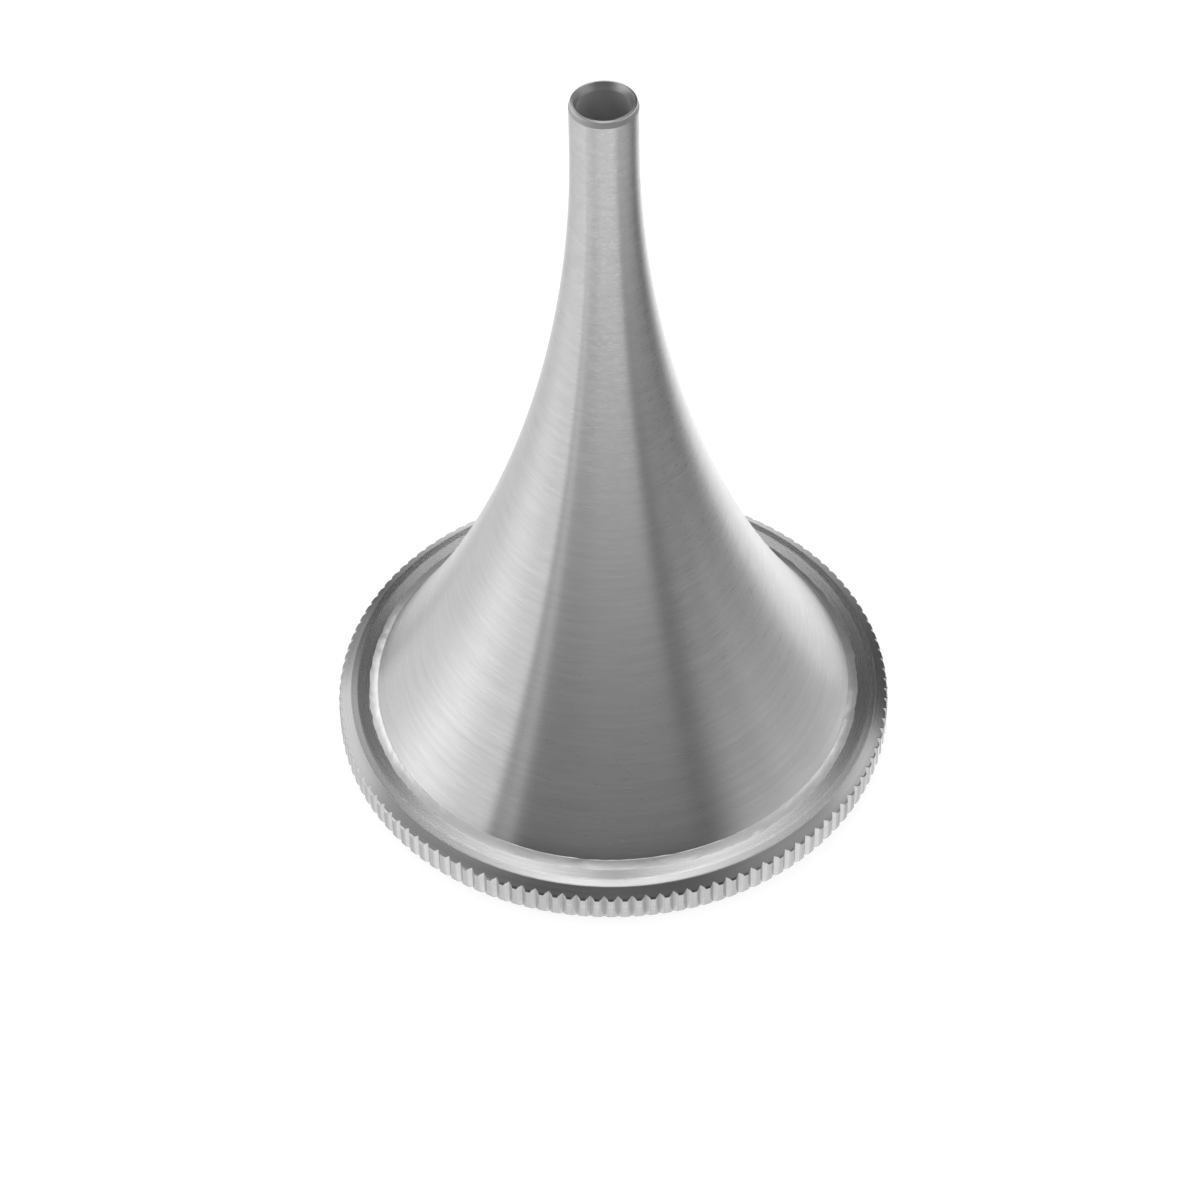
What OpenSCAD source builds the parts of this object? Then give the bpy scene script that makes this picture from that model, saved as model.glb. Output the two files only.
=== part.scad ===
// Ear speculum: a trumpet-shaped funnel of stainless sheet, standing on its wide end
// in a turned rim ring with a milled edge, and brazed to it all round.
// Millimetres. The axis is Z, the rim rests on Z = 0 and the narrow tip points up.

/* [Funnel] */
// Length from the rest face to the tip
total_length = 44.4; // [36:0.1:52]
// Outside diameter of the tip
tip_d = 3.5; // [2.5:0.1:6.5]
// Sheet thickness, square to the wall
wall = 0.4; // [0.3:0.05:0.55]
// Length of the straight tube at the tip
tip_straight = 2.8; // [1:0.1:6]
// Outside diameter of the funnel's mouth
mouth_d = 27.6; // [24:0.1:28.4]
// Lean of the wall at the mouth, in degrees from upright
mouth_angle = 34; // [25:1:45]
// How far the narrow tube holds its direction into the flare
tip_pull = 14.8; // [8:0.1:18]
// How far the mouth holds its direction into the flare
mouth_pull = 12.6; // [6:0.1:16]
// Rounding of the tip's top edge
tip_round = 0.15; // [0.08:0.01:0.18]
// Slope of the chamfer outside the tip, in degrees from the axis
tip_chamfer = 17; // [10:1:30]
// Width of the bevel inside the tip
bevel_w = 0.17; // [0.05:0.01:0.2]
// Depth of the bevel inside the tip
bevel_depth = 0.4; // [0.2:0.05:0.9]

/* [Rim ring] */
// Outside diameter over the milled edge
rim_d = 31.4; // [30.4:0.1:36]
// Height of the ring
rim_h = 2.1; // [1.6:0.05:3]
// Height of the sharp top edge of the milled side
side_h = 1.6; // [1:0.05:1.6]
// Width of the round shoulder, from the milled side to the flat top
shoulder_w = 1.1; // [0.7:0.02:1.2]
// Depth of the seat turned in the flat top for the funnel's mouth
seat_depth = 0.35; // [0.2:0.05:0.6]
// Radial clearance of the mouth in its seat
seat_gap = 0.05; // [0.03:0.01:0.1]
// Rounding of the ring's outer bottom edge
foot_round = 0.25; // [0.1:0.05:0.4]
// Rounding of the ring's inner bottom edge
bore_round = 0.45; // [0.2:0.05:0.6]

/* [Milled edge] */
// Number of grooves round the edge
groove_count = 128; // [96:1:144]
// Depth of each groove
groove_depth = 0.23; // [0.12:0.01:0.26]
// Angle between a groove's two flanks
groove_angle = 90; // [70:1:100]

/* [Braze] */
// How far the braze climbs the funnel above the ring's flat top
braze_climb = 0.25; // [0.15:0.05:0.5]
// How far the braze spreads over the flat top, past the seat
braze_reach = 0.2; // [0.1:0.02:0.25]

/* [Hidden] */

// Facets of a full turn, and segments of the flare and of the small roundings
$fn = 180;
flare_steps = 30;
round_steps = 6;

steel = [0.74, 0.75, 0.76];
turned_steel = [0.68, 0.69, 0.70];
braze_metal = [0.86, 0.86, 0.84];

tip_r = tip_d / 2;
mouth_r = mouth_d / 2;
rim_r = rim_d / 2;
seat_z = rim_h - seat_depth;
flare_top = total_length - tip_straight;

// The funnel's outside is one cubic curve, upright at the tip and leaning out at the mouth.
flare_poles = [
    [tip_r, flare_top],
    [tip_r, flare_top - tip_pull],
    [mouth_r - mouth_pull * sin(mouth_angle), seat_z + mouth_pull * cos(mouth_angle)],
    [mouth_r, seat_z]
];

// Point of a cubic curve at t, and its direction there
function curve_point(p, t) =
    pow(1 - t, 3) * p[0] + 3 * t * pow(1 - t, 2) * p[1] + 3 * t * t * (1 - t) * p[2] + pow(t, 3) * p[3];
function curve_run(p, t) =
    pow(1 - t, 2) * (p[1] - p[0]) + 2 * t * (1 - t) * (p[2] - p[1]) + t * t * (p[3] - p[2]);

// Width of the sheet on the level, where it leans and is cut across
function level_wall(run) = wall * norm(run) / abs(run[1]);

// Points along an arc, from one angle to another
function arc_points(centre, radius, from, to, steps = round_steps) =
    [for (i = [0 : steps]) centre + radius * [cos(from + (to - from) * i / steps), sin(from + (to - from) * i / steps)]];

flare_outside = [for (i = [0 : flare_steps]) curve_point(flare_poles, i / flare_steps)];
flare_inside = [for (i = [0 : flare_steps])
    flare_outside[i] - [level_wall(curve_run(flare_poles, i / flare_steps)), 0]];
bore_r = flare_inside[flare_steps][0];
seat_r = mouth_r + seat_gap;

// The shoulder and the braze are fillets, limited by the ring's width outside the seat.
ledge_w = rim_r - seat_r;
shoulder = min(shoulder_w, 0.65 * ledge_w);
reach = min(braze_reach, (ledge_w - shoulder) / 2);

// The lip's rounding and bevel are limited by the wall that they are cut from.
bevel = min(bevel_w, wall / 2);
lip_w = wall - bevel;
lip_round = min(tip_round, 0.7 * lip_w);
chamfer_w = lip_w - lip_round * cos(tip_chamfer);
chamfer_h = chamfer_w / tan(tip_chamfer);

// Radius of the funnel's outside at a height, on the same straight segments
function outside_at(z) = lookup(z, [for (p = flare_outside) [p[1], p[0]]]);

// Sheet metal funnel, open at both ends, its mouth cut level to stand in the ring
module funnel() {
    crest = [tip_r - lip_w, total_length - lip_round];
    chamfer_foot = [tip_r, crest[1] + lip_round * sin(tip_chamfer) - chamfer_h];
    lip = concat([chamfer_foot], arc_points(crest, lip_round, tip_chamfer, 90));
    bevel_foot = [tip_r - wall, total_length - bevel_depth];
    inside_up = [for (i = [0 : flare_steps]) flare_inside[i]];
    outside_down = [for (i = [flare_steps : -1 : 0]) flare_outside[i]];
    color(steel)
        rotate_extrude()
            polygon(concat(outside_down, lip, [bevel_foot], inside_up));
}

// Section of the turned ring before its edge is milled
module ring_section() {
    shoulder_rise = rim_h - side_h;
    shoulder_r = (shoulder * shoulder + shoulder_rise * shoulder_rise) / (2 * shoulder_rise);
    shoulder_start = asin(1 - shoulder_rise / shoulder_r);
    polygon(concat(
        arc_points([rim_r - foot_round, foot_round], foot_round, -90, 0),
        arc_points([rim_r - shoulder, rim_h - shoulder_r], shoulder_r, shoulder_start, 90, 2 * round_steps),
        [[seat_r, rim_h], [seat_r, seat_z], [bore_r, seat_z]],
        arc_points([bore_r + bore_round, bore_round], bore_round, 180, 270)
    ));
}

// Outline of the milled edge: sharp teeth, which the turned blank cuts short
module milled_outline() {
    root_r = rim_r - groove_depth;
    half_pitch = 180 / groove_count;
    spread = tan(groove_angle / 2);
    peak_r = root_r * spread / (spread * cos(half_pitch) - sin(half_pitch));
    polygon([for (i = [0 : 2 * groove_count - 1])
        (i % 2 == 0 ? root_r : peak_r) * [cos(i * half_pitch), sin(i * half_pitch)]]);
}

// Turned ring that the funnel stands in, with its milled edge
module rim_ring() {
    color(turned_steel)
        intersection() {
            rotate_extrude()
                ring_section();
            translate([0, 0, -rim_h])
                linear_extrude(height = 3 * rim_h)
                    milled_outline();
        }
}

// Braze that fills the seat beside the mouth and rises in a hollow fillet to the funnel
module solder_seam() {
    top = rim_h + braze_climb;
    toe = [seat_r + reach, rim_h];
    crown = [outside_at(top), top];
    corner = [outside_at(rim_h), rim_h];
    hollow = corner + (toe + crown - 2 * corner) / 8;
    fillet = [for (i = [0 : round_steps])
        pow(1 - i / round_steps, 2) * toe
        + 2 * (i / round_steps) * (1 - i / round_steps) * hollow
        + pow(i / round_steps, 2) * crown];
    funnel_side = [for (p = flare_outside) if (p[1] < top - 0.001 && p[1] > seat_z) p];
    color(braze_metal)
        rotate_extrude()
            polygon(concat([[mouth_r, seat_z], [seat_r, seat_z], [seat_r, rim_h]], fillet, funnel_side));
}

funnel();
rim_ring();
solder_seam();
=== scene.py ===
"""Ear speculum: a trumpet funnel of spun steel that stands on its wide end in a milled rim ring.

The funnel's mouth sits in a seat turned in the ring's flat top and is brazed to it all round.
Sizes are in millimetres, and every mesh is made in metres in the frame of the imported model.
"""

import logging
import math
from dataclasses import dataclass, field
from enum import Enum
from typing import Any

import bpy
from mathutils import Matrix, Vector


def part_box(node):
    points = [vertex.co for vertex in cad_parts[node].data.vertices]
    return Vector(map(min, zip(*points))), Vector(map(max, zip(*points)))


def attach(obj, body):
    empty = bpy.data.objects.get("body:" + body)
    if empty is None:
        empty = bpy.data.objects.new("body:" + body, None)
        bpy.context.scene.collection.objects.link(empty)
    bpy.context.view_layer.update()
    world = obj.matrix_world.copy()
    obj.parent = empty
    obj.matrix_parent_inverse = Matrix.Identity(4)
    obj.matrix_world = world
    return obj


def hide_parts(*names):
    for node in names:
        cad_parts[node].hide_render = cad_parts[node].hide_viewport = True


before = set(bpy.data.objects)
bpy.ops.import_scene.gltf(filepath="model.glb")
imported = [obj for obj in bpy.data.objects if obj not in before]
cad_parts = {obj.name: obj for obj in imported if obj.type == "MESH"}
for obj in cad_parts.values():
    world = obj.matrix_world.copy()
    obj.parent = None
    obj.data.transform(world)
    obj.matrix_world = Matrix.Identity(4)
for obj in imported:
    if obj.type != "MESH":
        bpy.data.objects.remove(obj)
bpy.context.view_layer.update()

MM = 0.001
BODY = "root"
WHITE = (1.0, 1.0, 1.0, 1.0)
HALF_TURN = 180.0

# Vertices nearer than MERGE metres become one, and radii nearer than SAME millimetres are equal
MERGE = 0.0005 * MM
SAME = 1e-6

# How far from a worn corner its faces are held flat, in widths of the wear
HOLD = 2.5

# Most of a noise lies between its low and its high, round its middle
NOISE_LOW = 0.3
NOISE_MIDDLE = 0.5
NOISE_HIGH = 0.7
NOISE_DETAIL = 2.0

# The lines run round the axis, and this turns their stretched highlights across them
HIGHLIGHT_TURN = 0.25

Point = tuple[float, float]
Place = tuple[float, float, float]
Faces = list[tuple[int, ...]]
log = logging.getLogger("ear_speculum")


class CadNode(Enum):
    """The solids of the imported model, which the pieces here stand for."""

    FUNNEL = "funnel"
    RING = "rim_ring"
    SEAM = "solder_seam"


class Slot(Enum):
    """The record's material slots."""

    SPUN = "spun_steel"
    TURNED = "turned_steel"
    BRAZE = "braze_metal"


def linear(colour: str) -> tuple[float, float, float, float]:
    """Turns an sRGB colour into the linear values that a shader takes.

    Args:
        colour: Six hex digits after a hash sign.

    Returns:
        Linear red, green, blue and an alpha of 1.
    """
    parts = [int(colour[i : i + 2], 16) / 255 for i in (1, 3, 5)]
    # The straight foot and the power curve of the sRGB standard
    red, green, blue = (c / 12.92 if c <= 0.04045 else ((c + 0.055) / 1.055) ** 2.4 for c in parts)
    return red, green, blue, 1.0


def add(
    tree: bpy.types.NodeTree,
    kind: str,
    inputs: dict[str | int, Any] | None = None,
    **settings: Any,
) -> bpy.types.Node:
    """Adds a node with its settings, its values and its links.

    Args:
        tree: The shader or geometry tree that it goes into.
        kind: The node's type, as Blender names it.
        inputs: A value for each input, or the output socket that feeds it.
        settings: The node's own properties.

    Returns:
        The new node.
    """
    node = tree.nodes.new(kind)
    for name, value in settings.items():
        setattr(node, name, value)
    for name, value in (inputs or {}).items():
        if isinstance(value, bpy.types.NodeSocket):
            tree.links.new(value, node.inputs[name])
        else:
            node.inputs[name].default_value = value
    return node


def geometry_tree(name: str, sizes: dict[str, str]) -> tuple[bpy.types.NodeTree, bpy.types.Node]:
    """Starts a Geometry Nodes tree that changes an object's own mesh.

    Args:
        name: The tree's name.
        sizes: Each named input and its socket type.

    Returns:
        The tree and its Group Input node.
    """
    tree = bpy.data.node_groups.new(name, "GeometryNodeTree")
    tree.interface.new_socket("Mesh", in_out="OUTPUT", socket_type="NodeSocketGeometry")
    tree.interface.new_socket("Mesh", in_out="INPUT", socket_type="NodeSocketGeometry")
    for label, kind in sizes.items():
        tree.interface.new_socket(label, in_out="INPUT", socket_type=kind)
    return tree, tree.nodes.new("NodeGroupInput")


def bake(piece: bpy.types.Object, tree: bpy.types.NodeTree, values: dict[str, Any]) -> None:
    """Runs a Geometry Nodes tree on a piece and keeps the result as its plain mesh.

    Args:
        piece: The object whose mesh is the tree's input.
        tree: The Geometry Nodes tree.
        values: A value for each named input.
    """
    modifier = piece.modifiers.new(tree.name, "NODES")
    modifier.node_group = tree
    for item in tree.interface.items_tree:
        if item.in_out == "INPUT" and item.name in values:
            modifier[item.identifier] = values[item.name]
    graph = bpy.context.evaluated_depsgraph_get()
    made = bpy.data.meshes.new_from_object(piece.evaluated_get(graph), depsgraph=graph)
    piece.modifiers.remove(modifier)
    # A mesh that came in without a material can leave an empty slot before the tree's own
    if made.materials[0] is None:
        made.materials.pop(index=0)
    made.name = piece.name
    piece.data = made


def new_piece(name: str, points: list[Place], faces: Faces) -> bpy.types.Object:
    """Makes a mesh object at the origin.

    Args:
        name: The piece's name.
        points: Its vertices in millimetres.
        faces: Its faces as vertex numbers.

    Returns:
        The object, linked to the scene.
    """
    mesh = bpy.data.meshes.new(name)
    mesh.from_pydata([Vector(p) * MM for p in points], [], faces)
    piece = bpy.data.objects.new(name, mesh)
    bpy.context.scene.collection.objects.link(piece)
    return piece


def seat_piece(piece: bpy.types.Object, node: CadNode) -> None:
    """Puts a finished piece on the body in place of its CAD solid.

    Args:
        piece: The finished piece.
        node: The CAD solid that it stands for.
    """
    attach(piece, BODY)
    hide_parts(node.value)


def worn(points: list[Point], wear: float) -> list[Point]:
    """Cuts the inner corners of an open outline with narrow flats.

    Args:
        points: The outline, whose two ends stay.
        wear: How far each flat reaches along its two faces.

    Returns:
        The outline with four points for each corner.
    """
    outline = [points[0]]
    for before, corner, after in zip(points, points[1:], points[2:]):
        for end, steps in ((before, (HOLD, 1.0)), (after, (1.0, HOLD))):
            length = math.dist(corner, end)
            for step in steps:
                share = step * wear / length
                outline.append(tuple(c + (e - c) * share for c, e in zip(corner, end)))
    return [*outline, points[-1]]


def arc(centre: Point, radius: float, start: float, end: float, steps: int) -> list[Point]:
    """Gives points along an arc of a section.

    Args:
        centre: The arc's centre, as radius and height.
        radius: The arc's radius.
        start: First angle in degrees.
        end: Last angle in degrees.
        steps: How many stretches it has.

    Returns:
        The points, from first to last.
    """
    angles = [math.radians(start + (end - start) * i / steps) for i in range(steps + 1)]
    return [(centre[0] + radius * math.cos(a), centre[1] + radius * math.sin(a)) for a in angles]


@dataclass(frozen=True)
class Lines:
    """A pattern of lines that run round the axis.

    Width is the lines' spacing, and length is how long they are on a face of radius at_radius.
    """

    width: float
    length: float
    at_radius: float = 8.0

    def draw(self, tree: bpy.types.NodeTree) -> bpy.types.NodeSocket:
        """Adds noise that is drawn out round the axis, so it has no seam at the back.

        Args:
            tree: The shader tree.

        Returns:
            The noise, from 0 to 1.
        """
        place = add(tree, "ShaderNodeTexCoord").outputs["Object"]
        flat = add(
            tree, "ShaderNodeVectorMath", {0: place, 1: (1, 1, 0)}, operation="MULTIPLY"
        ).outputs[0]
        radius = add(tree, "ShaderNodeVectorMath", {0: flat}, operation="LENGTH").outputs["Value"]
        height = add(tree, "ShaderNodeSeparateXYZ", {0: place}).outputs["Z"]
        turn = add(tree, "ShaderNodeVectorMath", {0: flat}, operation="NORMALIZE").outputs[0]
        along = self.at_radius / self.length
        spread = add(
            tree, "ShaderNodeVectorMath", {0: turn, "Scale": along}, operation="SCALE"
        ).outputs[0]
        run = add(tree, "ShaderNodeMath", {0: radius, 1: height}, operation="SUBTRACT").outputs[0]
        across = 1 / (self.width * MM)
        count = add(tree, "ShaderNodeMath", {0: run, 1: across}, operation="MULTIPLY").outputs[0]
        step = add(tree, "ShaderNodeCombineXYZ", {"Z": count}).outputs[0]
        vector = add(tree, "ShaderNodeVectorMath", {0: spread, 1: step}, operation="ADD").outputs[0]
        noise = add(
            tree, "ShaderNodeTexNoise", {"Vector": vector, "Scale": 1.0, "Detail": NOISE_DETAIL}
        )
        return noise.outputs["Fac"]


@dataclass(frozen=True)
class LinedSteel:
    """Bare stainless steel, which its abrasive or lathe tool left lined all round.

    Its tone follows the streaks, from dark to light, and its roughness follows the hairlines.
    """

    name: str
    dark: str
    light: str
    roughness: float
    anisotropy: float
    hairlines: Lines
    hairline_depth: float
    streaks: Lines
    streak_depth: float
    roughness_spread: float = 0.03

    def material(self) -> bpy.types.Material:
        """Builds the shader.

        Returns:
            The material.
        """
        material = bpy.data.materials.new(self.name)
        material.use_nodes = True
        tree = material.node_tree
        tree.nodes.clear()
        hairlines = self.hairlines.draw(tree)
        streaks = self.streaks.draw(tree)
        tone = add(
            tree,
            "ShaderNodeMix",
            {"Factor": streaks, "A": linear(self.dark), "B": linear(self.light)},
            data_type="RGBA",
        )
        gloss = add(
            tree,
            "ShaderNodeMapRange",
            {
                "Value": hairlines,
                "From Min": NOISE_LOW,
                "From Max": NOISE_HIGH,
                "To Min": self.roughness - self.roughness_spread,
                "To Max": self.roughness + self.roughness_spread,
            },
        )
        fine = add(
            tree,
            "ShaderNodeBump",
            {"Height": hairlines, "Strength": 1.0, "Distance": self.hairline_depth * MM},
        )
        relief = add(
            tree,
            "ShaderNodeBump",
            {
                "Height": streaks,
                "Strength": 1.0,
                "Distance": self.streak_depth * MM,
                "Normal": fine.outputs["Normal"],
            },
        )
        tangent = add(tree, "ShaderNodeTangent", direction_type="RADIAL", axis="Z")
        shader = add(
            tree,
            "ShaderNodeBsdfPrincipled",
            {
                "Base Color": tone.outputs["Result"],
                "Metallic": 1.0,
                "Roughness": gloss.outputs["Result"],
                "Anisotropic": self.anisotropy,
                "Anisotropic Rotation": HIGHLIGHT_TURN,
                "Normal": relief.outputs["Normal"],
                "Tangent": tangent.outputs["Tangent"],
            },
        )
        add(tree, "ShaderNodeOutputMaterial", {"Surface": shader.outputs["BSDF"]})
        return material

    def dress(self, piece: bpy.types.Object) -> int:
        """Adds the finish to a piece and gives its number there, as the piece's faces name it."""
        piece.data.materials.append(self.material())
        return len(piece.data.materials) - 1


# The braze froze as it ran, so the eye gets an uneven bright line between the two greyer steels
@dataclass(frozen=True)
class BrazeAlloy:
    """Silver brazing alloy, left bright and slightly rippled as it flowed round the joint."""

    name: str = "silver_braze_as_flowed"
    colour: str = "#ececec"
    roughness: float = 0.38
    ripple: float = 0.22
    ripple_depth: float = 0.008

    def material(self) -> bpy.types.Material:
        """Builds the shader.

        Returns:
            The material.
        """
        material = bpy.data.materials.new(self.name)
        material.use_nodes = True
        tree = material.node_tree
        tree.nodes.clear()
        place = add(tree, "ShaderNodeTexCoord").outputs["Object"]
        noise = add(
            tree,
            "ShaderNodeTexNoise",
            {"Vector": place, "Scale": 1 / (self.ripple * MM), "Detail": NOISE_DETAIL},
        )
        bump = add(
            tree,
            "ShaderNodeBump",
            {"Height": noise.outputs["Fac"], "Strength": 1.0, "Distance": self.ripple_depth * MM},
        )
        shader = add(
            tree,
            "ShaderNodeBsdfPrincipled",
            {
                "Base Color": linear(self.colour),
                "Metallic": 1.0,
                "Roughness": self.roughness,
                "Normal": bump.outputs["Normal"],
            },
        )
        add(tree, "ShaderNodeOutputMaterial", {"Surface": shader.outputs["BSDF"]})
        return material


# Real hairlines are some 0.02 mm apart, too fine to show, so these are 3 to 8 times as coarse

# Fine abrasive went round the spun sheet, so lamps draw out into soft bands along its length
SPUN_STEEL = LinedSteel(
    name="spun_stainless_steel_fine_brushed",
    dark="#b4b4b4",
    light="#c8c8c8",
    roughness=0.3,
    anisotropy=1.0,
    hairlines=Lines(width=0.08, length=0.9),
    hairline_depth=0.0006,
    streaks=Lines(width=0.35, length=4.0),
    streak_depth=0.001,
)
# The lip was buffed after its bevel was cut, so its crest is a thin light line over a shaded bevel
BUFFED_STEEL = LinedSteel(
    name="buffed_stainless_steel_lip",
    dark="#c4c4c4",
    light="#d2d2d2",
    roughness=0.36,
    anisotropy=0.0,
    hairlines=Lines(width=0.06, length=0.8, at_radius=1.6),
    hairline_depth=0.0005,
    streaks=Lines(width=0.3, length=0.9, at_radius=1.6),
    streak_depth=0.0012,
)
# The lip's chamfer was filed by hand, so it stays an even matt grey, darkened as painted shade under the
# bright crest
FILED_STEEL_PAINTED_SHADE = LinedSteel(
    name="filed_stainless_steel_chamfer_painted_shade",
    dark="#acacac",
    light="#b8b8b8",
    roughness=0.7,
    anisotropy=0.0,
    hairlines=Lines(width=0.06, length=0.8, at_radius=1.7),
    hairline_depth=0.0005,
    streaks=Lines(width=0.3, length=0.9, at_radius=1.7),
    streak_depth=0.0012,
)
# The inside was only drawn over its mandrel, so it is matt, and the bore darkens softly with depth
# Its pale tone is painted light, which lifts the inside of the bore
DRAWN_STEEL_PAINTED_LIGHT = LinedSteel(
    name="drawn_stainless_steel_bore_painted_light",
    dark="#d4d4d4",
    light="#e0e0e0",
    roughness=0.7,
    anisotropy=0.0,
    hairlines=Lines(width=0.15, length=2.0, at_radius=2.0),
    hairline_depth=0.001,
    streaks=Lines(width=0.5, length=3.0, at_radius=2.0),
    streak_depth=0.002,
)
# The lathe left close rings on shoulder, lands and bore, so the shoulder shows as one clean band
# Its tone, the darkest of the steels, is painted shade that deepens the shoulder's dark band
TURNED_STEEL_PAINTED_SHADE = LinedSteel(
    name="turned_stainless_steel_painted_shade",
    dark="#a0a0a0",
    light="#b4b4b4",
    roughness=0.2,
    anisotropy=0.9,
    hairlines=Lines(width=0.07, length=8.0, at_radius=14.5),
    hairline_depth=0.0006,
    streaks=Lines(width=0.25, length=12.0, at_radius=14.5),
    streak_depth=0.001,
)
# The ring's top was faced with a fine feed, so its sheen is bright in front and dark at the sides
# Its tone, paler than the turned steel's, is painted light on the ring's top
FACED_STEEL_PAINTED_LIGHT = LinedSteel(
    name="faced_stainless_steel_painted_light",
    dark="#c8c8c8",
    light="#d8d8d8",
    roughness=0.26,
    anisotropy=1.0,
    hairlines=Lines(width=0.07, length=8.0, at_radius=14.5),
    hairline_depth=0.0006,
    streaks=Lines(width=0.25, length=12.0, at_radius=14.5),
    streak_depth=0.001,
)
# The cutter's faces have no set direction, so the grooves stay evenly matt between glossier lands
MILLED_STEEL = LinedSteel(
    name="milled_stainless_steel",
    dark="#b2b2b2",
    light="#c4c4c4",
    roughness=0.36,
    anisotropy=0.0,
    hairlines=Lines(width=0.12, length=3.0, at_radius=15.6),
    hairline_depth=0.001,
    streaks=Lines(width=0.4, length=3.0, at_radius=15.6),
    streak_depth=0.001,
)


def revolve_tree() -> bpy.types.NodeTree:
    """Builds the tree that turns a closed section about the axis into a solid.

    The section's vertices go up its outside and down its inside, and the first one is repeated
    at the end. Unevenness moves the surface in and out by noise, as on metal that flowed.

    Returns:
        The Geometry Nodes tree.
    """
    tree, given = geometry_tree(
        "turn_section",
        {
            "Segments": "NodeSocketInt",
            "Unevenness": "NodeSocketFloat",
            "Lump size": "NodeSocketFloat",
            "Metal": "NodeSocketMaterial",
        },
    )
    section = given.outputs["Mesh"]
    segments = given.outputs["Segments"]
    count = add(tree, "GeometryNodeAttributeDomainSize", {"Geometry": section}, component="MESH")
    rows = count.outputs["Point Count"]
    columns = add(tree, "ShaderNodeMath", {0: segments, 1: 1}, operation="ADD").outputs[0]
    grid = add(tree, "GeometryNodeMeshGrid", {"Vertices X": columns, "Vertices Y": rows})
    index = add(tree, "GeometryNodeInputIndex").outputs["Index"]
    row = add(tree, "ShaderNodeMath", {0: index, 1: rows}, operation="MODULO").outputs[0]
    passed = add(tree, "ShaderNodeMath", {0: index, 1: rows}, operation="DIVIDE").outputs[0]
    column = add(tree, "ShaderNodeMath", {0: passed}, operation="FLOOR").outputs[0]
    share = add(tree, "ShaderNodeMath", {0: column, 1: segments}, operation="DIVIDE").outputs[0]
    angle = add(tree, "ShaderNodeMath", {0: share, 1: math.tau}, operation="MULTIPLY").outputs[0]
    place = add(tree, "GeometryNodeInputPosition").outputs["Position"]
    point = add(
        tree,
        "GeometryNodeSampleIndex",
        {"Geometry": section, "Value": place, "Index": row},
        data_type="FLOAT_VECTOR",
        domain="POINT",
    )
    turned = add(
        tree,
        "ShaderNodeVectorRotate",
        {"Vector": point.outputs["Value"], "Angle": angle},
        rotation_type="Z_AXIS",
    )
    shaped = add(
        tree,
        "GeometryNodeSetPosition",
        {"Geometry": grid.outputs["Mesh"], "Position": turned.outputs["Vector"]},
    )
    closed = add(
        tree,
        "GeometryNodeMergeByDistance",
        {"Geometry": shaped.outputs["Geometry"], "Distance": MERGE},
    )
    lump_size = given.outputs["Lump size"]
    size = add(tree, "ShaderNodeMath", {0: 1.0, 1: lump_size}, operation="DIVIDE").outputs[0]
    noise = add(tree, "ShaderNodeTexNoise", {"Scale": size, "Detail": NOISE_DETAIL}).outputs["Fac"]
    swing = add(
        tree, "ShaderNodeMath", {0: noise, 1: NOISE_MIDDLE}, operation="SUBTRACT"
    ).outputs[0]
    unevenness = given.outputs["Unevenness"]
    lump = add(tree, "ShaderNodeMath", {0: swing, 1: unevenness}, operation="MULTIPLY").outputs[0]
    normal = add(tree, "GeometryNodeInputNormal").outputs["Normal"]
    push = add(tree, "ShaderNodeVectorMath", {0: normal, "Scale": lump}, operation="SCALE")
    uneven = add(
        tree,
        "GeometryNodeSetPosition",
        {"Geometry": closed.outputs["Geometry"], "Offset": push.outputs["Vector"]},
    )
    smooth = add(tree, "GeometryNodeSetShadeSmooth", {"Geometry": uneven.outputs["Geometry"]})
    real = add(tree, "GeometryNodeRealizeInstances", {"Geometry": smooth.outputs["Geometry"]})
    dressed = add(
        tree,
        "GeometryNodeSetMaterial",
        {"Geometry": real.outputs["Geometry"], "Material": given.outputs["Metal"]},
    )
    add(tree, "NodeGroupOutput", {"Mesh": dressed.outputs["Geometry"]})
    return tree


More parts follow.
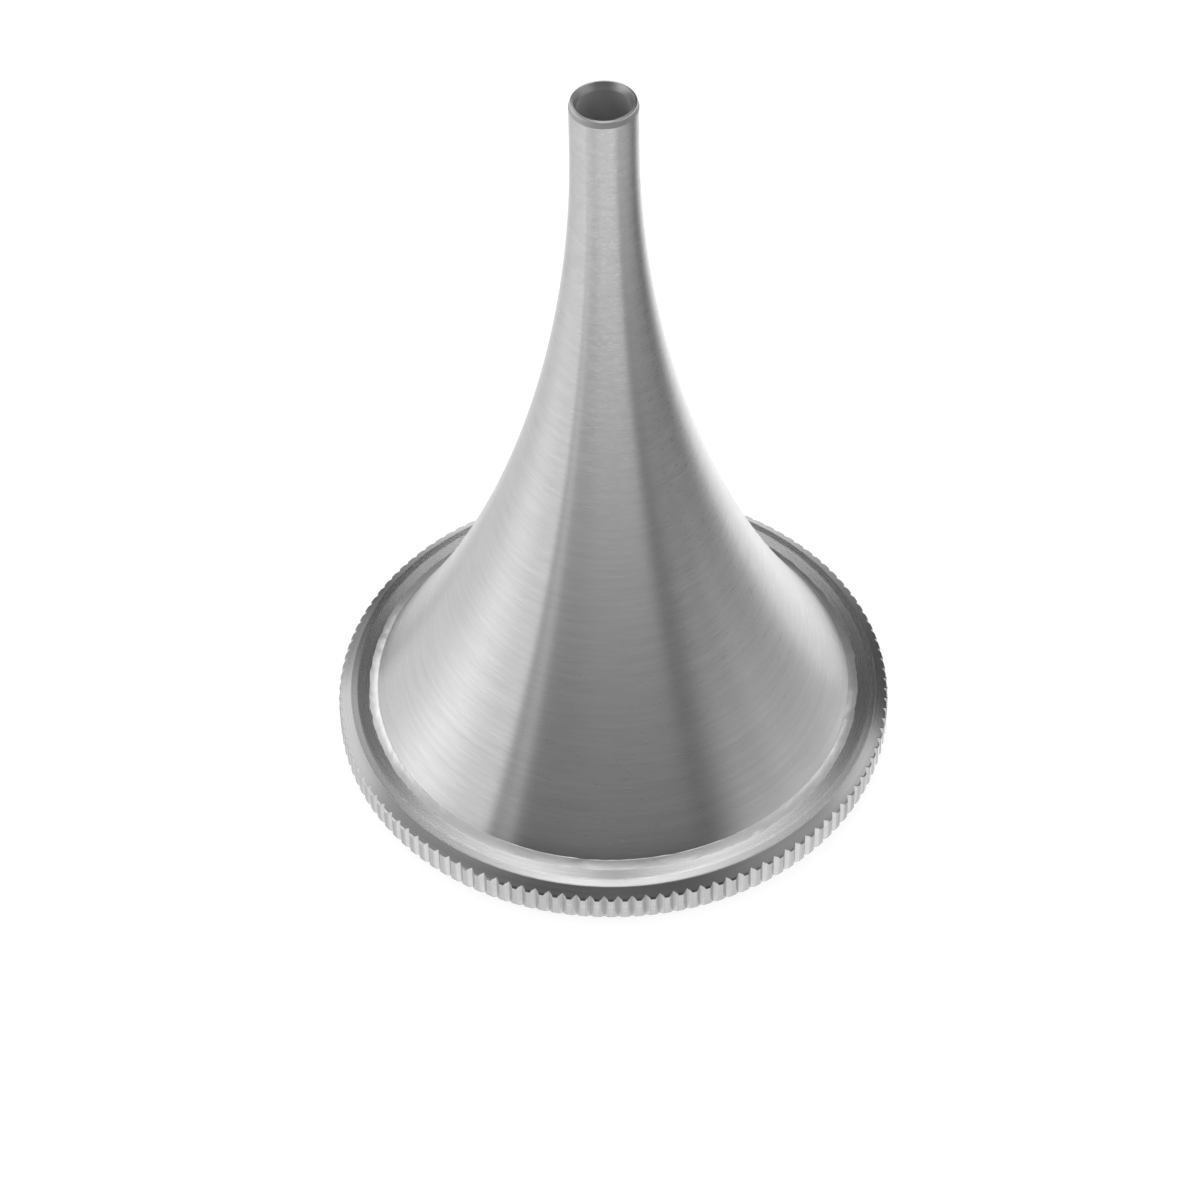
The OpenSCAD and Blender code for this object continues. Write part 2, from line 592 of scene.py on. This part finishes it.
@dataclass
class Funnel:
    """The trumpet of spun sheet, whose outside is one cubic curve from tip tube to mouth.

    Angles are in degrees. The pulls are how far each end of the curve holds its direction, and the
    lip's outer faces whose normals rise between the two chamfer slopes are its chamfer, in painted shade.
    """

    tip_d: float = 3.5
    wall: float = 0.4
    tip_straight: float = 2.8
    mouth_angle: float = 34.0
    tip_pull: float = 14.8
    mouth_pull: float = 12.6
    chamfer_w: float = 0.08
    chamfer_h: float = 0.28
    bevel_w: float = 0.17
    bevel_depth: float = 0.4
    crest_slope: float = 24.0
    lip_wear: float = 0.012
    lip_h: float = 0.6
    shaded_chamfer_slopes: tuple[float, float] = (0.1, 0.6)
    flare_steps: int = 84
    segments: int = 256
    halvings: int = 40
    sharp_from: float = 35.0
    length: float = field(init=False)
    mouth_r: float = field(init=False)
    seat_z: float = field(init=False)

    def __post_init__(self) -> None:
        """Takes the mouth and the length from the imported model."""
        low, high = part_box(CadNode.FUNNEL.value)
        self.length = high.z / MM
        self.mouth_r = high.x / MM
        self.seat_z = low.z / MM

    def poles(self) -> list[Vector]:
        """Gives the four poles of the outside curve.

        Returns:
            The poles as radius and height, from the tip tube to the mouth.
        """
        tip_r = self.tip_d / 2
        top = self.length - self.tip_straight
        lean = math.radians(self.mouth_angle)
        flare_r = self.mouth_r - self.mouth_pull * math.sin(lean)
        flare_z = self.seat_z + self.mouth_pull * math.cos(lean)
        return [
            Vector((tip_r, top)),
            Vector((tip_r, top - self.tip_pull)),
            Vector((flare_r, flare_z)),
            Vector((self.mouth_r, self.seat_z)),
        ]

    def outside(self, t: float) -> Vector:
        """Gives the point of the outside curve at t, from 0 at the tip tube to 1 at the mouth."""
        a, b, c, d = self.poles()
        return (1 - t) ** 3 * a + 3 * t * (1 - t) ** 2 * b + 3 * t * t * (1 - t) * c + t**3 * d

    def inside(self, t: float) -> Vector:
        """Gives the point of the inner face that lies level with a point of the outside.

        Args:
            t: The place on the curve, from 0 at the tip tube to 1 at the mouth.

        Returns:
            The point as radius and height, with the wall square to the sheet between the two.
        """
        a, b, c, d = self.poles()
        run = (1 - t) ** 2 * (b - a) + 2 * t * (1 - t) * (c - b) + t * t * (d - c)
        return self.outside(t) - Vector((self.wall * run.length / abs(run.y), 0))

    def outside_at(self, height: float) -> float:
        """Finds the outside radius at a height.

        Args:
            height: The height in millimetres.

        Returns:
            The radius in millimetres.
        """
        low, high = 0.0, 1.0
        for _ in range(self.halvings):
            middle = (low + high) / 2
            if self.outside(middle).y > height:
                low = middle
            else:
                high = middle
        return self.outside(low).x

    def lip(self) -> list[Point]:
        """Gives the outline of the tip's end.

        Returns:
            The outline, from the tube's outside over the crest into the bore.
        """
        tip_r = self.tip_d / 2
        low = self.length - self.lip_h
        crest_w = self.wall - self.bevel_w - self.chamfer_w
        fall = crest_w * math.tan(math.radians(self.crest_slope))
        crest = (tip_r - self.wall + self.bevel_w, self.length)
        corner = (tip_r - self.chamfer_w, self.length - fall)
        chamfer_foot = (tip_r, corner[1] - self.chamfer_h)
        bevel_foot = (tip_r - self.wall, self.length - self.bevel_depth)
        bore = (tip_r - self.wall, low)
        return worn([(tip_r, low), chamfer_foot, corner, crest, bevel_foot, bore], self.lip_wear)

    def section(self) -> list[Point]:
        """Gives the closed section of the sheet.

        Returns:
            The section's points, up its outside and down its inside.
        """
        shares = [i / self.flare_steps for i in range(self.flare_steps + 1)]
        up = [tuple(self.outside(t)) for t in reversed(shares)]
        down = [tuple(self.inside(t)) for t in shares]
        return [*up, *self.lip(), *down, up[0]]

    def finish(self, piece: bpy.types.Object) -> None:
        """Gives the lip and the inside their own finishes, with painted light in the inside's pale tone.

        Args:
            piece: The funnel, whose outside is dressed already.
        """
        buffed = BUFFED_STEEL.dress(piece)
        drawn = DRAWN_STEEL_PAINTED_LIGHT.dress(piece)
        # The chamfer's darker steel is painted shade under the crest
        filed = FILED_STEEL_PAINTED_SHADE.dress(piece)
        lip_low = (self.length - self.bevel_depth) * MM
        least, most = self.shaded_chamfer_slopes
        for face in piece.data.polygons:
            outward = face.normal.xy.dot(face.center.xy)
            if face.center.z > lip_low:
                on_chamfer = outward > 0 and least < face.normal.z < most
                face.material_index = filed if on_chamfer else buffed
            elif outward < 0:
                face.material_index = drawn

    def build(self) -> bpy.types.Object:
        """Makes the funnel and puts it in place of its solid.

        Returns:
            The funnel.
        """
        piece = new_piece("spun_funnel", [(r, 0, z) for r, z in self.section()], [])
        bake(
            piece,
            revolve_tree(),
            {
                "Segments": self.segments,
                "Unevenness": 0.0,
                "Lump size": MM,
                "Metal": SPUN_STEEL.material(),
            },
        )
        self.finish(piece)
        piece.data.set_sharp_from_angle(angle=math.radians(self.sharp_from))
        seat_piece(piece, CadNode.FUNNEL)
        return piece


@dataclass
class RimRing:
    """The turned ring that the funnel stands in, with grooves milled all round its edge.

    Angles are in degrees. Edge_wear takes at most edge_wear_share of a groove's flank, and
    land_wear_share of it lies on the land. Above the side, a face whose normal rises past the
    top's slope is faced, and takes a paler steel than the rest: painted light on the top.
    """

    side_h: float = 1.6
    shoulder_w: float = 1.1
    seat_gap: float = 0.05
    foot_round: float = 0.25
    foot_steps: int = 9
    bore_round: float = 0.45
    bore_steps: int = 7
    groove_count: int = 128
    groove_depth: float = 0.23
    groove_angle: float = 90.0
    chamfer_w: float = 0.42
    chamfer_angle: float = 13.0
    lit_top_slope: float = 0.9
    bend_wear: float = 0.03
    edge_round: float = 0.08
    edge_wear: float = 0.05
    edge_wear_share: float = 0.4
    land_wear_share: float = 0.7
    root_wear: float = 0.02
    flank_points: int = 4
    land_points: int = 3
    rim_d: float = 31.4
    sharp_from: float = 28.0
    height: float = field(init=False)
    root_r: float = field(init=False)
    half_pitch: float = field(init=False)
    level_points: int = field(init=False)

    def __post_init__(self) -> None:
        """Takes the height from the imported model, and works out what the grooves share."""
        self.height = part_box(CadNode.RING.value)[1].z / MM
        self.root_r = self.rim_d / 2 - self.groove_depth
        self.half_pitch = math.pi / self.groove_count
        self.level_points = self.flank_points + self.land_points

    def section(self, funnel: Funnel) -> list[Point]:
        """Gives the closed section of the blank, up its outside and down its bore.

        Args:
            funnel: The funnel, whose mouth sets the seat and the bore.

        Returns:
            The section's points, with a level exactly where the grooves run out.
        """
        rim_r = self.rim_d / 2
        top = (rim_r - self.shoulder_w, self.height)
        fall = self.chamfer_w * math.tan(math.radians(self.chamfer_angle))
        bend = (top[0] + self.chamfer_w, self.height - fall)
        side = (rim_r, self.side_h)
        slope = (bend[1] - side[1]) / (side[0] - bend[0])
        runout = (self.root_r, side[1] + slope * self.groove_depth)
        on_chamfer = ((top[0] + bend[0]) / 2, (top[1] + bend[1]) / 2)
        on_flat = ((top[0] + funnel.mouth_r) / 2, self.height)
        on_side = (rim_r, self.side_h / 2)
        shoulder = worn([on_chamfer, bend, runout], self.bend_wear)
        crown = worn([on_flat, top, shoulder[0]], self.bend_wear)
        edge = worn([runout, side, on_side], self.edge_round)
        foot = (rim_r - self.foot_round, self.foot_round)
        cosine = (self.foot_round - self.groove_depth) / self.foot_round
        foot_runout = math.degrees(math.acos(cosine))
        seat_r = funnel.mouth_r + self.seat_gap
        bore_r = funnel.inside(1.0).x
        bore_foot = (bore_r + self.bore_round, self.bore_round)
        return [
            (foot[0], 0.0),
            *arc(foot, self.foot_round, -foot_runout, 0, self.foot_steps),
            *reversed(edge),
            *reversed(shoulder[1:-1]),
            *reversed(crown),
            (seat_r, self.height),
            (seat_r, funnel.seat_z),
            (bore_r, funnel.seat_z),
            *arc(bore_foot, self.bore_round, 180, 270, self.bore_steps),
            (foot[0], 0.0),
        ]

    def reach(self, radius: float) -> float:
        """Works out how far a groove's flank has spread, on the level, where it meets a radius.

        Args:
            radius: The radius, no smaller than the groove's root.

        Returns:
            The distance from the groove's middle.
        """
        spread = math.tan(math.radians(self.groove_angle / 2))
        a = 1 + 1 / spread**2
        b = self.root_r / spread
        return (-b + math.sqrt(b * b - a * (self.root_r**2 - radius**2))) / a

    def level(self, radius: float, height: float) -> list[Place]:
        """Gives one level of half a groove and half a land.

        Args:
            radius: The blank's radius there.
            height: The level's height.

        Returns:
            The level's points, from the groove's root to the middle of the land.
        """
        if radius < self.root_r - SAME:
            steps = self.level_points - 1
            angles = [self.half_pitch * j / steps for j in range(self.level_points)]
            return [(radius * math.cos(a), radius * math.sin(a), height) for a in angles]
        spread = math.tan(math.radians(self.groove_angle / 2))
        side = self.reach(radius)
        wear = min(self.edge_wear, self.edge_wear_share * side)
        root = min(self.root_wear, radius - self.root_r)
        parts = self.flank_points - 1
        across = [*(side * i / parts for i in range(1, parts)), side - wear]
        flank = [(self.root_r + root, 0.0, height)]
        flank += [(self.root_r + max(d / spread, root), d, height) for d in across]
        edge = math.atan2(side + wear * self.land_wear_share, radius)
        shares = [i / (self.land_points - 1) for i in range(self.land_points)]
        lands = [edge + (self.half_pitch - edge) * share for share in shares]
        return flank + [(radius * math.cos(a), radius * math.sin(a), height) for a in lands]

    def sector(self, section: list[Point]) -> bpy.types.Object:
        """Makes the mesh of one groove with half a land on each side.

        Args:
            section: The blank's section.

        Returns:
            The object that holds it, with its milled faces marked.
        """
        points: list[Place] = []
        for radius, height in section:
            right = self.level(radius, height)
            left = [(x, -y, z) for x, y, z in reversed(right[1:])]
            points += left + right
        wide = 2 * self.level_points - 1
        flanks = range(self.land_points, wide - 1 - self.land_points)
        faces, milled = [], []
        for i in range(len(section) - 1):
            in_groove = min(section[i][0], section[i + 1][0]) > self.root_r - SAME
            for j in range(wide - 1):
                first = i * wide + j
                faces.append((first, first + 1, first + 1 + wide, first + wide))
                milled.append(in_groove and j in flanks)
        piece = new_piece("milled_rim_ring", points, faces)
        mark = piece.data.attributes.new("milled", "BOOLEAN", "FACE")
        for item, value in zip(mark.data, milled):
            item.value = value
        return piece

    def tree(self) -> bpy.types.NodeTree:
        """Builds the tree that repeats the grooved sector all round the ring.

        Returns:
            The Geometry Nodes tree.
        """
        tree, given = geometry_tree(
            "grooves_round_rim",
            {
                "Groove count": "NodeSocketInt",
                "Turned metal": "NodeSocketMaterial",
                "Milled metal": "NodeSocketMaterial",
            },
        )
        count = given.outputs["Groove count"]
        index = add(tree, "GeometryNodeInputIndex").outputs["Index"]
        pitch = add(tree, "ShaderNodeMath", {0: math.tau, 1: count}, operation="DIVIDE").outputs[0]
        angle = add(tree, "ShaderNodeMath", {0: index, 1: pitch}, operation="MULTIPLY").outputs[0]
        turn = add(tree, "ShaderNodeCombineXYZ", {"Z": angle})
        points = add(tree, "GeometryNodePoints", {"Count": count})
        copies = add(
            tree,
            "GeometryNodeInstanceOnPoints",
            {
                "Points": points.outputs[0],
                "Instance": given.outputs["Mesh"],
                "Rotation": turn.outputs["Vector"],
            },
        )
        real = add(tree, "GeometryNodeRealizeInstances", {"Geometry": copies.outputs["Instances"]})
        joined = add(
            tree,
            "GeometryNodeMergeByDistance",
            {"Geometry": real.outputs["Geometry"], "Distance": MERGE},
        )
        smooth = add(tree, "GeometryNodeSetShadeSmooth", {"Geometry": joined.outputs["Geometry"]})
        turned = add(
            tree,
            "GeometryNodeSetMaterial",
            {"Geometry": smooth.outputs["Geometry"], "Material": given.outputs["Turned metal"]},
        )
        mark = add(tree, "GeometryNodeInputNamedAttribute", {"Name": "milled"}, data_type="BOOLEAN")
        milled = add(
            tree,
            "GeometryNodeSetMaterial",
            {
                "Geometry": turned.outputs["Geometry"],
                "Selection": mark.outputs["Attribute"],
                "Material": given.outputs["Milled metal"],
            },
        )
        add(tree, "NodeGroupOutput", {"Mesh": milled.outputs["Geometry"]})
        return tree

    def finish(self, piece: bpy.types.Object) -> None:
        """Gives the faced top its own finish, a paler steel that is painted light on the top.

        Args:
            piece: The ring, whose other faces are dressed already.
        """
        faced = FACED_STEEL_PAINTED_LIGHT.dress(piece)
        # The top's upward faces take the paler steel, as painted light
        for face in piece.data.polygons:
            if face.normal.z > self.lit_top_slope and face.center.z > self.side_h * MM:
                face.material_index = faced

    def build(self, funnel: Funnel) -> bpy.types.Object:
        """Makes the ring and puts it in place of its solid.

        Args:
            funnel: The funnel that stands in it.

        Returns:
            The ring.
        """
        piece = self.sector(self.section(funnel))
        bake(
            piece,
            self.tree(),
            {
                "Groove count": self.groove_count,
                "Turned metal": TURNED_STEEL_PAINTED_SHADE.material(),
                "Milled metal": MILLED_STEEL.material(),
            },
        )
        self.finish(piece)
        piece.data.set_sharp_from_angle(angle=math.radians(self.sharp_from))
        seat_piece(piece, CadNode.RING)
        return piece


@dataclass
class BrazeSeam:
    """The braze that fills the seat beside the funnel's mouth and stands in a fillet round it.

    A fullness of 0.5 is a straight fillet, and less is hollow. Bite is how deep the hidden side
    of the seam runs into the sheet, so that no gap shows.
    """

    climb: float = 0.22
    reach: float = 0.2
    bite: float = 0.03
    fullness: float = 0.34
    fillet_steps: int = 10
    unevenness: float = 0.06
    lump: float = 0.8
    segments: int = 720
    sharp_from: float = 50.0

    def section(self, funnel: Funnel, ring: RimRing) -> list[Point]:
        """Gives the closed section of the seam.

        Args:
            funnel: The funnel that it holds.
            ring: The ring that it fills.

        Returns:
            The section's points, up the seat and the hollow fillet and down just inside the sheet.
        """
        top = ring.height + self.climb
        seat_r = funnel.mouth_r + ring.seat_gap
        toe = Vector((seat_r + self.reach, ring.height - self.unevenness / 2))
        crown = Vector((funnel.outside_at(top), top))
        corner = Vector((funnel.outside_at(ring.height), ring.height))
        hollow = corner + self.fullness * (toe + crown - 2 * corner)
        shares = [i / self.fillet_steps for i in range(self.fillet_steps + 1)]
        return [
            (seat_r, funnel.seat_z),
            (seat_r, toe.y - self.bite),
            *(tuple((1 - t) ** 2 * toe + 2 * t * (1 - t) * hollow + t * t * crown) for t in shares),
            (funnel.outside_at(top) - self.bite, top),
            (corner.x - self.bite, ring.height),
            (funnel.mouth_r - self.bite, funnel.seat_z),
            (seat_r, funnel.seat_z),
        ]

    def build(self, funnel: Funnel, ring: RimRing) -> bpy.types.Object:
        """Makes the seam and puts it in place of its solid.

        Args:
            funnel: The funnel that it holds.
            ring: The ring that it fills.

        Returns:
            The seam.
        """
        section = self.section(funnel, ring)
        piece = new_piece("brazed_seam", [(r, 0, z) for r, z in section], [])
        bake(
            piece,
            revolve_tree(),
            {
                "Segments": self.segments,
                "Unevenness": self.unevenness * MM,
                "Lump size": self.lump * MM,
                "Metal": BrazeAlloy().material(),
            },
        )
        piece.data.set_sharp_from_angle(angle=math.radians(self.sharp_from))
        seat_piece(piece, CadNode.SEAM)
        return piece


@dataclass(frozen=True)
class Panel:
    """One soft-edged patch of light or shade in the studio, placed by direction from the object.

    Angles are in degrees. Azimuth is 0 towards the camera and 90 to its right. The blurs are how
    far the patch fades to each side of its edges, and turn lowers its right end.
    """

    azimuth: float
    elevation: float
    half_width: float
    half_height: float
    level: float
    side_blur: float = 8.0
    top_blur: float = 8.0
    turn: float = 0.0

    def over(
        self,
        tree: bpy.types.NodeTree,
        light: bpy.types.NodeSocket | float,
        azimuth: bpy.types.NodeSocket,
        elevation: bpy.types.NodeSocket,
    ) -> bpy.types.NodeSocket:
        """Lays the patch over the light that is already there.

        Args:
            tree: The world's shader tree.
            light: The level so far.
            azimuth: The direction's azimuth in degrees.
            elevation: The direction's elevation in degrees.

        Returns:
            The new level.
        """
        off = add(
            tree, "ShaderNodeMath", {0: azimuth, 1: self.azimuth}, operation="SUBTRACT"
        ).outputs[0]
        side = add(
            tree, "ShaderNodeMath", {0: off, 1: HALF_TURN, 2: -HALF_TURN}, operation="WRAP"
        ).outputs[0]
        rise = add(
            tree, "ShaderNodeMath", {0: elevation, 1: self.elevation}, operation="SUBTRACT"
        ).outputs[0]
        across, along = side, rise
        if self.turn:
            cosine = math.cos(math.radians(self.turn))
            sine = math.sin(math.radians(self.turn))
            dip = add(tree, "ShaderNodeMath", {0: rise, 1: -sine}, operation="MULTIPLY").outputs[0]
            across = add(
                tree, "ShaderNodeMath", {0: side, 1: cosine, 2: dip}, operation="MULTIPLY_ADD"
            ).outputs[0]
            lift = add(tree, "ShaderNodeMath", {0: side, 1: sine}, operation="MULTIPLY").outputs[0]
            along = add(
                tree, "ShaderNodeMath", {0: rise, 1: cosine, 2: lift}, operation="MULTIPLY_ADD"
            ).outputs[0]
        wide = self.edge(tree, across, self.half_width, self.side_blur)
        high = self.edge(tree, along, self.half_height, self.top_blur)
        cover = add(tree, "ShaderNodeMath", {0: wide, 1: high}, operation="MULTIPLY").outputs[0]
        mixed = add(
            tree,
            "ShaderNodeMix",
            {"Factor": cover, "A": light, "B": self.level},
            data_type="FLOAT",
        )
        return mixed.outputs["Result"]

    def edge(
        self, tree: bpy.types.NodeTree, away: bpy.types.NodeSocket, half: float, blur: float
    ) -> bpy.types.NodeSocket:
        """Fades from 1 to 0 where the distance from the middle passes the half size.

        Args:
            tree: The world's shader tree.
            away: The distance from the patch's middle in degrees.
            half: The half size in degrees.
            blur: How far the fade reaches to each side of the edge.

        Returns:
            The fade.
        """
        distance = add(tree, "ShaderNodeMath", {0: away}, operation="ABSOLUTE").outputs[0]
        fade = add(
            tree,
            "ShaderNodeMapRange",
            {
                "Value": distance,
                "From Min": half - blur,
                "From Max": half + blur,
                "To Min": 1.0,
                "To Max": 0.0,
            },
            interpolation_type="SMOOTHSTEP",
        )
        return fade.outputs["Result"]


# Each patch lies over the ones before it
SOFT_STUDIO: tuple[Panel, ...] = (
    # The table all round, brighter behind the object and in front, and dimmer on its left
    Panel(azimuth=0, elevation=-60, half_width=190, half_height=48, level=1.3, top_blur=10),
    Panel(azimuth=180, elevation=-34, half_width=36, half_height=30, level=1.9, side_blur=10, top_blur=12),
    Panel(azimuth=-120, elevation=-40, half_width=34, half_height=18, level=0.9, side_blur=20, top_blur=12),
    Panel(azimuth=4, elevation=-36, half_width=26, half_height=16, level=1.6, side_blur=14, top_blur=10),
    # The unlit room behind the camera, dim high up and dark at the height of the table
    Panel(azimuth=0, elevation=30, half_width=60, half_height=20, level=0.26, side_blur=25, top_blur=6),
    Panel(azimuth=0, elevation=63, half_width=60, half_height=15, level=0.16, side_blur=25, top_blur=6),
    Panel(azimuth=-4, elevation=3, half_width=48, half_height=13, level=0.03),
    # The large softbox on the left, its lamp, its dark frame and the light that spills past that
    Panel(azimuth=-92, elevation=10, half_width=42, half_height=24, level=1.3, side_blur=3, top_blur=12),
    Panel(azimuth=-92, elevation=8, half_width=14, half_height=14, level=2.3, side_blur=14, top_blur=12),
    Panel(azimuth=-51.5, elevation=8, half_width=2.5, half_height=24, level=0.25, side_blur=1.5),
    Panel(azimuth=-46, elevation=8, half_width=3, half_height=20, level=0.7, side_blur=3),
    # The smaller softbox on the right, which slopes down towards the back
    Panel(azimuth=84, elevation=24, half_width=32, half_height=14, level=1.6, side_blur=14, turn=14),
    # The unlit room behind the object
    Panel(azimuth=150, elevation=24, half_width=30, half_height=26, level=0.05, top_blur=12),
    Panel(azimuth=-158, elevation=20, half_width=8, half_height=26, level=0.0, side_blur=5, top_blur=10),
    Panel(azimuth=180, elevation=40, half_width=30, half_height=14, level=0.1, side_blur=10),
    # The dark card that lies on the right of the table, and the strip of light beyond its far end
    Panel(azimuth=81, elevation=-21.5, half_width=43, half_height=17, level=0.02, turn=14),
    Panel(
        azimuth=130, elevation=-4, half_width=34, half_height=7, level=2.4, side_blur=10, top_blur=6, turn=38
    ),
    # The dim roof behind the object, and the softbox overhead
    Panel(azimuth=180, elevation=61, half_width=65, half_height=11, level=0.1, side_blur=12, top_blur=4),
    Panel(azimuth=180, elevation=74, half_width=24, half_height=20, level=3.2, side_blur=12, top_blur=3),
    # A pale card low on the right, and two that light the sides of the ring's shoulder
    Panel(azimuth=90, elevation=3, half_width=14, half_height=6, level=1.0, top_blur=6),
    Panel(azimuth=-124, elevation=25, half_width=18, half_height=12, level=1.6, top_blur=8),
    Panel(azimuth=113, elevation=37, half_width=14, half_height=8, level=1.1, top_blur=6),
)


@dataclass
class Studio:
    """The pale floor, the soft light and the camera at the photograph's angle.

    The camera looks down by elevation and leans by roll, in degrees. Aside and above are where the
    middle of the object's foot lies in its view. Surround is the light where no patch lies.
    """

    elevation: float = 46.972
    distance: float = 210.0
    roll: float = -1.138
    aside: float = 0.776
    above: float = -5.974
    lens: float = 109.35
    sensor: float = 36.0
    nearest: float = 10.0
    farthest: float = 10000.0
    floor_size: float = 3000.0
    floor_drop: float = 0.03
    floor_glow: float = 0.8
    wall_height: float = 5000.0
    wall_sides: int = 48
    wall_glow: float = 1.0
    paint: str = "#b4b4b4"
    surround: float = 0.5
    panels: tuple[Panel, ...] = SOFT_STUDIO

    def camera(self) -> None:
        """Places the camera."""
        lift = math.radians(self.elevation)
        back = Vector((0, -math.cos(lift), math.sin(lift)))
        tilt = Matrix.Rotation(math.radians(self.roll), 3, back)
        right = tilt @ Vector((1, 0, 0))
        up = back.cross(right)
        data = bpy.data.cameras.new("camera")
        data.sensor_width = self.sensor
        data.lens = self.lens
        data.clip_start = self.nearest * MM
        data.clip_end = self.farthest * MM
        camera = bpy.data.objects.new("camera", data)
        place = (self.distance * back - self.aside * right - self.above * up) * MM
        axes = Matrix((right, up, back)).transposed()
        camera.matrix_world = Matrix.Translation(place) @ axes.to_4x4()
        bpy.context.scene.collection.objects.link(camera)
        bpy.context.scene.camera = camera

    def world(self) -> None:
        """Makes the soft light from the patches."""
        world = bpy.data.worlds.new("soft_studio")
        world.use_nodes = True
        tree = world.node_tree
        tree.nodes.clear()
        direction = add(tree, "ShaderNodeTexCoord").outputs["Generated"]
        x, y, z = add(tree, "ShaderNodeSeparateXYZ", {0: direction}).outputs
        front = add(tree, "ShaderNodeMath", {0: y, 1: -1.0}, operation="MULTIPLY").outputs[0]
        turn = add(tree, "ShaderNodeMath", {0: x, 1: front}, operation="ARCTAN2").outputs[0]
        azimuth = add(tree, "ShaderNodeMath", {0: turn}, operation="DEGREES").outputs[0]
        rise = add(tree, "ShaderNodeMath", {0: z}, operation="ARCSINE").outputs[0]
        elevation = add(tree, "ShaderNodeMath", {0: rise}, operation="DEGREES").outputs[0]
        light: bpy.types.NodeSocket | float = self.surround
        for panel in self.panels:
            light = panel.over(tree, light, azimuth, elevation)
        sky = add(tree, "ShaderNodeBackground", {"Color": WHITE, "Strength": light})
        add(tree, "ShaderNodeOutputWorld", {"Surface": sky.outputs["Background"]})
        bpy.context.scene.world = world

    def stage(self, name: str, points: list[Place], faces: Faces, glow: float) -> bpy.types.Object:
        """Puts up a pale matt surface of the studio, whose glow brings it to white.

        The patches of light stand for it in the metal, so it is hidden from reflections. It is
        clear from behind, so the object can be looked at from underneath.

        Args:
            name: The surface's name.
            points: Its vertices in millimetres.
            faces: Its faces as vertex numbers.
            glow: The light that it adds to what falls on it.

        Returns:
            The surface.
        """
        surface = new_piece(name, points, faces)
        material = bpy.data.materials.new(f"pale_{name}")
        material.use_nodes = True
        tree = material.node_tree
        tree.nodes.clear()
        matt = add(tree, "ShaderNodeBsdfDiffuse", {"Color": linear(self.paint)}).outputs["BSDF"]
        light = add(tree, "ShaderNodeEmission", {"Color": WHITE, "Strength": glow})
        both = add(tree, "ShaderNodeAddShader", {0: matt, 1: light.outputs["Emission"]})
        clear = add(tree, "ShaderNodeBsdfTransparent").outputs["BSDF"]
        behind = add(tree, "ShaderNodeNewGeometry").outputs["Backfacing"]
        shown = add(tree, "ShaderNodeMixShader", {0: behind, 1: both.outputs["Shader"], 2: clear})
        add(tree, "ShaderNodeOutputMaterial", {"Surface": shown.outputs["Shader"]})
        surface.data.materials.append(material)
        surface.visible_glossy = False
        return surface

    def floor(self) -> None:
        """Lays the pale floor, a hair under the object's foot, where it keeps the soft shadow."""
        half, low = self.floor_size / 2, -self.floor_drop
        corners = [(-half, -half, low), (half, -half, low), (half, half, low), (-half, half, low)]
        self.stage("floor", corners, [(0, 1, 2, 3)], self.floor_glow)

    def backdrop(self) -> None:
        """Puts up the white wall all round, which faces inwards and casts no light or shadow."""
        sides = self.wall_sides
        half = self.floor_size / 2
        turns = [math.tau * i / sides for i in range(sides)]
        ring = [(math.cos(a) * half, math.sin(a) * half) for a in turns]
        points = [(x, y, z) for z in (-self.floor_drop, self.wall_height) for x, y in ring]
        faces = [(i, i + sides, (i + 1) % sides + sides, (i + 1) % sides) for i in range(sides)]
        wall = self.stage("backdrop", points, faces, self.wall_glow)
        wall.visible_diffuse = False
        wall.visible_shadow = False

    def build(self) -> None:
        """Sets up the whole studio."""
        self.camera()
        self.world()
        self.floor()
        self.backdrop()
        bpy.context.scene.view_settings.view_transform = "Standard"


def main() -> None:
    """Builds the speculum and its studio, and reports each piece."""
    logging.basicConfig(level=logging.INFO, format="%(name)s: %(message)s")
    funnel = Funnel()
    ring = RimRing()
    for piece in (funnel.build(), ring.build(funnel), BrazeSeam().build(funnel, ring)):
        log.info("%s: %d faces, rides on %s", piece.name, len(piece.data.polygons), BODY)
    Studio().build()


if __name__ == "__main__":
    main()
